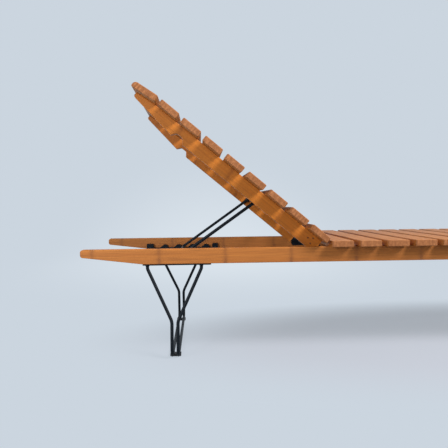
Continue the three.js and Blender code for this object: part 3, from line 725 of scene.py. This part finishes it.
# Injection-moulded nylon: matt, with a spark-eroded grain 0.5 mm across and duller scuffs of 17 mm
black_nylon = worn_finish("black_nylon", ("101113", "101113"), patches=60.0, worn=(0.45, 0.0),
                          sheen=(0.5, 0.68), grain=(2000.0, 1.0, 0.3, 0.0001), IOR=1.53)
for end in ("head", "foot"):
    for side in SIDES:
        node = f"{end}_glide_{side}"
        low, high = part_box(node)
        middle = (low.x + high.x) / 2
        start, finish = low.x + GLIDE_TRIM, high.x - GLIDE_TRIM
        corners = [(start, low.z, GLIDE_EDGE), (finish, low.z, GLIDE_EDGE),
                   (finish, high.z, GLIDE_LIP)]
        for bar_x in (middle + LEG_SPREAD_FOOT / 2, middle - LEG_SPREAD_FOOT / 2):
            corners += [(bar_x + GROOVE, high.z, GLIDE_LIP),
                        (bar_x + GROOVE, FLOOR_BAR - GROOVE, GROOVE_CORNER),
                        (bar_x - GROOVE, FLOOR_BAR - GROOVE, GROOVE_CORNER),
                        (bar_x - GROOVE, high.z, GLIDE_LIP)]
        corners.append((start, high.z, GLIDE_LIP))
        skin, _ = slab(rounded_outline(corners), low.y, high.y, GLIDE_EASE)
        piece(f"{node}_saddle", skin, grid_faces(skin), black_nylon, "frame", [node],
              "black_nylon")


# Hinge brackets. A steel plate screwed to the inner face of each main rail, with a turned boss
# that reaches through to the tongue and carries the hinge bolt.
RAIL_INNER = 0.2767
PLATE_THICKNESS = 0.004
BRACKET_LENGTH = 0.078
BRACKET_HEIGHT = 0.038
BRACKET_SETBACK = 0.030
BRACKET_CORNER = 0.008
EYE = 0.010
HINGE_BOLT = 0.004
CLEAR = 0.0003
TONGUE_THICKNESS = 0.004
BACK_RAIL_MIDDLE = 0.250
TURNED_SIDES = 40


def turned(profile, x, z, sign):
    """A part turned about the y axis through (x, z), its profile given as (y, radius) for the left
    side of the lounger, and mirrored for the right side where sign is -1."""
    along, radius = np.asarray(profile, float).T[..., None]
    turn = np.linspace(0, 2 * np.pi, TURNED_SIDES, endpoint=False)
    across = np.broadcast_to(sign * along, (len(along), TURNED_SIDES))
    return np.stack([x + radius * np.cos(turn), across, z + radius * np.sin(turn)], axis=2)


def eased_ring(inner, outer, bore, radius, ease=0.0005):
    """The looped profile of a ring from y = inner to y = outer, between two radii, edges eased."""
    return [(inner, bore + ease), (inner + ease, bore), (outer - ease, bore), (outer, bore + ease),
            (outer, radius - ease), (outer - ease, radius), (inner + ease, radius),
            (inner, radius - ease)]


tongue_inner = BACK_RAIL_MIDDLE - TONGUE_THICKNESS / 2
tongue_outer = BACK_RAIL_MIDDLE + TONGUE_THICKNESS / 2
bracket_start = hinge[0] - BRACKET_SETBACK
bracket_bottom = hinge[2] + EYE - BRACKET_HEIGHT
bracket_outline = rounded_box(bracket_start, bracket_bottom, bracket_start + BRACKET_LENGTH,
                              bracket_bottom + BRACKET_HEIGHT, [BRACKET_CORNER] * 4)
hinge_bore = HINGE_BOLT + CLEAR
boss_ring = eased_ring(tongue_outer + CLEAR, RAIL_INNER - PLATE_THICKNESS / 2, hinge_bore, EYE)
for side, sign in SIDES.items():
    low, high = sorted((sign * RAIL_INNER, sign * (RAIL_INNER - PLATE_THICKNESS)))
    plate, _ = slab(bracket_outline, low, high, PLATE_EASE)
    boss = turned(boss_ring, hinge[0], hinge[2], sign)
    skins = joined([(plate, grid_faces(plate)), (boss, grid_faces(boss, looped=True))])
    piece(f"hinge_bracket_{side}_plate", *skins, black_steel, "frame", [f"hinge_bracket_{side}"],
          "black_steel")


# Hinge bolts. M8 button-head bolts of black-plated steel, driven from the inside through the
# tongue's eye into the boss.
BOLT_HEAD = 0.008
BOLT_HEAD_HEIGHT = 0.005
SOCKET = 0.0026
SOCKET_DEPTH = 0.0024
SOCKET_RIM = 1.35  # in radii of a bolt's socket: the flat round it, its floor and a ring in that
SOCKET_DRAFT = 0.98
SOCKET_RING = 0.4
BOLT_EASE = 0.0002
SHANK_EASE = 0.0006

# Black-plated steel: a dark metal sheen, paler in rubbed patches 4 mm across
dark_bolt = worn_finish("black_plated_steel", ("25272a", "5a5d61"), patches=240.0, worn=(0.5, 0.6),
                        sheen=(0.3, 0.42), Metallic=1.0)


def button_head(seat, shank_end, shank, head, height, socket, depth, x, z, sign):
    """A bolt as one turned skin: a head on the inner side of its seat, its dome a quarter ellipse,
    with a blind round socket, and a shank that runs from the seat out to shank_end."""
    rim, top = socket * SOCKET_RIM, seat - height
    dome = [(seat - height * math.sin(a), rim + (head - rim) * math.cos(a))
            for a in np.linspace(0, np.pi / 2, EDGE_STEPS + 1)]
    sunk = [(top + BOLT_EASE, socket), (top + depth, socket * SOCKET_DRAFT),
            (top + depth, socket * SOCKET_RING)]
    back = [(seat, shank + BOLT_EASE / 2), (seat + BOLT_EASE, shank),
            (shank_end - SHANK_EASE, shank), (shank_end, shank - SHANK_EASE)]
    return turned(sunk[::-1] + dome[::-1] + back, x, z, sign)


for side, sign in SIDES.items():
    bolt = button_head(tongue_inner - CLEAR, RAIL_INNER, HINGE_BOLT, BOLT_HEAD, BOLT_HEAD_HEIGHT,
                       SOCKET, SOCKET_DEPTH, hinge[0], hinge[2], sign)
    piece(f"hinge_bolt_{side}_m8", bolt, grid_faces(bolt), dark_bolt, "frame",
          [f"hinge_bolt_{side}"], "dark_bolt")


# Hinge tongues. A leaf of 4 mm steel in each backrest rail's kerf, held by three screws and cut
# round an eye that turns on the bolt.
TONGUE_LENGTH = 0.084
TONGUE_DEPTH = 0.031
TAIL_SHARES = [(-1, -0.08, 0.4), (-1, -0.5, 0.4), (-0.76, -0.92, 0.6), (-0.31, -1, 0.6)]
TOP_SHARES = [(-0.21, -0.11, 0.3), (-0.32, 0.24, 0.3), (-0.76, 0.24, 0.4)]
LEAF_REACH = 0.0072
LEAF_MOUTH = np.radians([-52.0, -118.0, -184.0])
LEAF_CORNER = 0.0006
LEAF_EASE = 0.0004
LEAF_THINNER = 0.00008
tail, top = ([(x * TONGUE_LENGTH, z * TONGUE_DEPTH, r * EYE) for x, z, r in shares]
             for shares in (TAIL_SHARES, TOP_SHARES))
into_eye = [(LEAF_REACH * math.cos(a), LEAF_REACH * math.sin(a), LEAF_CORNER) for a in LEAF_MOUTH]
leaf_outline = rounded_outline(tail + into_eye + top)
eye_ring = eased_ring(tongue_inner, tongue_outer, hinge_bore, EYE)
for side, sign in SIDES.items():
    middle, half = sign * BACK_RAIL_MIDDLE, TONGUE_THICKNESS / 2 - LEAF_THINNER
    leaf, _ = slab(leaf_outline, middle - half, middle + half, LEAF_EASE)
    eye = turned(eye_ring, 0.0, 0.0, sign)
    vertices, faces = joined([(leaf, grid_faces(leaf)), (eye, grid_faces(eye, looped=True))])
    piece(f"hinge_tongue_{side}_leaf", on_backrest(vertices), faces, black_steel, "backrest",
          [f"hinge_tongue_{side}"], "black_steel")


# Prop. Two straight arms of the same rod as the legs, welded onto a cross bar, each with an eye at
# the top that turns on a bolt in the backrest rail.
PROP_LENGTH = 0.3385
PROP_ARM = 0.232
PROP_BAR_END = 0.2641
PROP_BAR_HEIGHT = 0.3255
PROP_EYE = 0.009
PROP_BORE = 0.0033
ARM_START = ROD / 3  # from the cross bar's middle to where an arm starts inside it
ARM_END = PROP_EYE / 1.6  # from the eye's middle to where the arm ends inside its ring
EYE_WELD = 0.96 * ROD
pivot = pivots["prop_swing"]
lean = math.asin((pivot[2] - PROP_BAR_HEIGHT) / PROP_LENGTH)
down = np.array([-math.cos(lean), 0.0, -math.sin(lean)])
bar = pivot + down * PROP_LENGTH


def straight_rod(start, end, across):
    """A rod from start to end, as a pair of vertices and faces."""
    way = (end - start) / np.linalg.norm(end - start)
    skin = rod(np.array([start, end]), np.array([way, way]), across)
    return skin, grid_faces(skin)


parts = [straight_rod(bar - (0, PROP_BAR_END, 0), bar + (0, PROP_BAR_END, 0), (1, 0, 0))]
prop_ring = eased_ring(PROP_ARM - ROD, PROP_ARM + ROD, PROP_BORE, PROP_EYE)
for sign in SIDES.values():
    arm = np.array([0.0, sign * PROP_ARM, 0.0])
    eye = turned(prop_ring, pivot[0], pivot[2], sign)
    parts += [
        straight_rod(bar + arm - down * ARM_START, pivot + arm + down * ARM_END, (0, 1, 0)),
        bead(bar + arm - down * ROD, down, ROD),
        bead(pivot + arm + down * PROP_EYE, down, EYE_WELD),
        (eye, grid_faces(eye, looped=True)),
    ]
piece("prop_rods", *joined(parts), black_steel, "prop", ["prop"], "black_steel")


# Prop pivots. Each eye turns on a button-head bolt driven into the rail from inside, with a thin
# nylon washer between the eye and the rail.
RAIL_FACE = 0.239
PROP_BOLT = 0.003
PROP_BOLT_DEPTH = 0.014
PROP_BOLT_HEAD = 0.006
PROP_BOLT_HEAD_HEIGHT = 0.003
PROP_SOCKET = 0.0017
PROP_SOCKET_DEPTH = 0.0015
WASHER_EASE = 0.0002
washer_ring = eased_ring(PROP_ARM + ROD + CLEAR, RAIL_FACE - CLEAR, PROP_BORE, PROP_EYE,
                         WASHER_EASE)
for side, sign in SIDES.items():
    washer = turned(washer_ring, pivot[0], pivot[2], sign)
    piece(f"prop_bush_{side}_washer", washer, grid_faces(washer, looped=True),
          black_nylon, "backrest", [f"prop_bush_{side}"], "black_nylon")
    bolt = button_head(PROP_ARM - ROD - CLEAR, RAIL_FACE + PROP_BOLT_DEPTH, PROP_BOLT,
                       PROP_BOLT_HEAD, PROP_BOLT_HEAD_HEIGHT, PROP_SOCKET, PROP_SOCKET_DEPTH,
                       pivot[0], pivot[2], sign)
    piece(f"prop_bolt_{side}_m6", bolt, grid_faces(bolt), dark_bolt, "backrest",
          [f"prop_bolt_{side}"], "dark_bolt")


# Screws. Low-domed screws that are left out of the solids: three through each backrest rail into
# the hinge tongue, and rows of them in the racks, brackets and leg plates.
TONGUE_SCREWS = [(-0.0711, -0.0086), (-0.0555, 0.0010), (-0.0531, -0.0191)]
BRACKET_SCREWS = [(0.010, 0.009), (0.068, 0.009), (0.068, 0.029)]
RACK_SCREWS = (0.015, 0.1065, 0.2243)
RACK_LAST_SCREW = 0.012
RACK_SCREW_HEIGHT = 0.0085
PLATE_SCREW_END = 0.008
PLATE_SCREW_MIDDLE = 0.02
BACK_RAIL_HALF = 0.011
SMALL_SCREW = 0.0026
WIDE_SCREW = 0.0034
SCREW_RISE = 0.0003
SCREW_SIDES = 24
SCREW_SOCKET = 0.45
WELL_MIDDLE = 0.2

# The rings of a screw's head and of its socket: heights in SCREW_RISE, and radii in the head's and
# in the socket's own
SCREW_HEAD = [(-0.4, 1.0), (0.3, 1.0), (0.8, 0.9), (1.0, 0.7)]
SCREW_WELL = [(1.0, 1.06), (0.7, 1.0), (-1.5, 0.97)]


def screw_head(centre, away, radius):
    """A low-domed head on a surface at centre, facing away, with a hexagonal socket. The socket's
    wall is at r = a cos 30 / cos((t mod 60) - 30), where a is SCREW_SOCKET of the head's radius."""
    away = np.array(away, float)
    first = np.cross(away, (0.0, 0.0, 1.0) if abs(away[2]) < 0.9 else (1.0, 0.0, 0.0))
    second = np.cross(away, first)
    turn = np.linspace(0, 2 * np.pi, SCREW_SIDES, endpoint=False)
    socket = SCREW_SOCKET * radius * math.cos(np.pi / 6) / np.cos(turn % (np.pi / 3) - np.pi / 6)
    rings = [(height, np.full(SCREW_SIDES, radius * share)) for height, share in SCREW_HEAD]
    rings += [(height, socket * share) for height, share in SCREW_WELL]
    rings.append((rings[-1][0], np.full(SCREW_SIDES, WELL_MIDDLE * radius)))
    way = np.cos(turn)[:, None] * first + np.sin(turn)[:, None] * second
    skin = np.array([np.asarray(centre) + away * (SCREW_RISE * height) + way * size[:, None]
                     for height, size in rings])
    return skin, grid_faces(skin)


for side, sign in SIDES.items():
    outer = sign * (BACK_RAIL_MIDDLE + BACK_RAIL_HALF)
    lying = np.array([(x, outer, z) for x, z in TONGUE_SCREWS])
    heads = [screw_head(centre, (0, sign, 0), SMALL_SCREW) for centre in on_backrest(lying)]
    piece(f"backrest_rail_{side}_screws", *joined(heads), dark_bolt, "backrest", [], "dark_bolt")

    low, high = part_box(f"rack_{side}")
    inner = sign * min(abs(low.y), abs(high.y))
    along = [*(low.x + x for x in RACK_SCREWS), high.x - RACK_LAST_SCREW]
    spots = [(x, inner, low.z + RACK_SCREW_HEIGHT) for x in along]
    inner = sign * (RAIL_INNER - PLATE_THICKNESS)
    spots += [(bracket_start + x, inner, bracket_bottom + z) for x, z in BRACKET_SCREWS]
    heads = [screw_head(spot, (0, -sign, 0), WIDE_SCREW) for spot in spots]
    for end in ("head", "foot"):
        low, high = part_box(f"{end}_leg_plate_{side}")
        centre = (low + high) / 2
        heads += [screw_head((x, centre.y, low.z), (0, 0, -1), WIDE_SCREW)
                  for x in (low.x + PLATE_SCREW_END, centre.x - PLATE_SCREW_MIDDLE,
                            centre.x + PLATE_SCREW_MIDDLE, high.x - PLATE_SCREW_END)]
    piece(f"main_rail_{side}_screws", *joined(heads), dark_bolt, "frame", [], "dark_bolt")


# Floor and backdrop. Smooth pale grey-blue studio paper, one sheet that lies on the floor and runs
# up behind the lounger in a sweep.
FLOOR_SIZE = 9.0
BACKDROP_AWAY = 3.2
SWEEP_RADIUS = 1.4
SWEEP_STEPS = 24
PAPER_SEEN = "cbd5df"

# Two soft masks: the middle of each, how it is squeezed along the axes, the distances between
# which it fades, and its values there
POOL = ((-0.45, 3.0, 0.1), (0.55, 0.36, 0.75), 0.1, 1.0, 1.0, 0.0)
NEAR = ((0.6, -0.1, 0.0), (0.65, 1.4, 1.0), 0.55, 1.15, 0.55, 1.0)


def studio_paper(name, paper_hex, bounce_hex, seen_hex, pool_hex):
    """Matt coated paper under even studio light. For the camera and in reflections most of its tone
    is given outright, with a paler pool of light low behind the seat. Near the lounger the rest is
    the paper's own shading, so that the shadow on the floor stays. It throws back little light."""
    look = finish_named(name)
    spot = add(look, "TexCoord")["Object"]
    masks = []
    for middle, squeeze, start, stop, at_start, at_stop in (POOL, NEAR):
        moved = add(look, "VectorMath", {0: spot, 1: middle}, operation="SUBTRACT")[0]
        sized = add(look, "VectorMath", {0: moved, 1: squeeze}, operation="MULTIPLY")[0]
        away = add(look, "VectorMath", {0: sized}, operation="LENGTH")["Value"]
        masks.append(add(look, "MapRange", {"Value": away, "From Min": start, "From Max": stop,
                                            "To Min": at_start, "To Max": at_stop},
                         interpolation_type="SMOOTHSTEP")[0])
    pool, share = masks
    seen = add(look, "Mix", {0: pool, 6: linear(seen_hex), 7: linear(pool_hex)},
               data_type="RGBA")[2]
    rays = add(look, "LightPath")
    looked_at = add(look, "Math", {0: rays["Is Camera Ray"], 1: rays["Is Glossy Ray"]},
                    operation="MAXIMUM")[0]
    share = add(look, "Math", {0: share, 1: looked_at}, operation="MULTIPLY")[0]
    own = add(look, "Mix", {0: looked_at, 6: linear(bounce_hex), 7: linear(paper_hex)},
              data_type="RGBA")[2]
    paper = add(look, "BsdfDiffuse", {"Color": own})[0]
    glow = add(look, "Emission", {"Color": seen, "Strength": 1.0})[0]
    surface = add(look, "MixShader", {0: share, 1: paper, 2: glow})[0]
    add(look, "OutputMaterial", {"Surface": surface})
    return look


bend = np.linspace(0, np.pi / 2, SWEEP_STEPS)
profile = np.concatenate([
    [[-FLOOR_SIZE, 0.0]],
    np.stack([BACKDROP_AWAY + SWEEP_RADIUS * np.sin(bend), SWEEP_RADIUS * (1 - np.cos(bend))],
             axis=1),
    [[BACKDROP_AWAY + SWEEP_RADIUS, FLOOR_SIZE]],
])
count = len(profile)
across = np.repeat([-FLOOR_SIZE, FLOOR_SIZE], count)
sweep = np.column_stack([across, np.tile(profile, (2, 1))])
strips = [(i, i + count, i + count + 1, i + 1) for i in range(count - 1)]
paper_mesh = bpy.data.meshes.new("studio_paper")
paper_mesh.from_pydata(sweep.tolist(), [], strips)
paper_mesh.shade_smooth()
paper_mesh.materials.append(
    studio_paper("studio_paper", "bcbdc9", "90959c", PAPER_SEEN, "dbe4ec"))
paper = bpy.data.objects.new("studio_paper", paper_mesh)
scene.collection.objects.link(paper)
paper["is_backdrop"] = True


# Lights. One large soft box high at the right and in front, which throws the slats' shadows down
# onto the rails, a small gridded one low at the left for the backrest, and a dim even room.
def soft_box(name, position, target, size, power, colour, spread=180):
    """A square area lamp turned towards its target. A grid narrows its spread in degrees."""
    data = bpy.data.lights.new(name, "AREA")
    data.size = size
    data.energy = power
    data.color = colour
    data.spread = math.radians(spread)
    lamp = bpy.data.objects.new(name, data)
    lamp.location = position
    way = Vector(target) - Vector(position)
    lamp.rotation_euler = way.to_track_quat("-Z", "Y").to_euler()
    scene.collection.objects.link(lamp)


soft_box("key_box", position=(3.0, -2.7, 3.75), target=(-0.3, 0.0, 0.4), size=2.0, power=355.0,
         colour=(1.0, 0.98, 0.95))
soft_box("fill_box", position=(-2.2, -2.1, 1.1), target=(-0.8, 0.0, 0.5), size=1.2, power=9.5,
         colour=(0.95, 0.98, 1.0), spread=80)
world = bpy.data.worlds.new("pale_room")
world.use_nodes = True
world.node_tree.nodes.clear()
rays = add(world, "LightPath")
looked_at = add(world, "Math", {0: rays["Is Camera Ray"], 1: rays["Is Glossy Ray"]},
                operation="MAXIMUM")[0]
tone = add(world, "Mix", {0: looked_at, 6: linear("e4e7ec"), 7: linear(PAPER_SEEN)},
           data_type="RGBA")[2]
strength = add(world, "Mix", {0: looked_at, 2: 0.22, 3: 1.0}, data_type="FLOAT")[0]
room = add(world, "Background", {"Color": tone, "Strength": strength})[0]
add(world, "OutputWorld", {"Surface": room})
scene.world = world
scene.view_settings.view_transform = "Standard"

low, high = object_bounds()
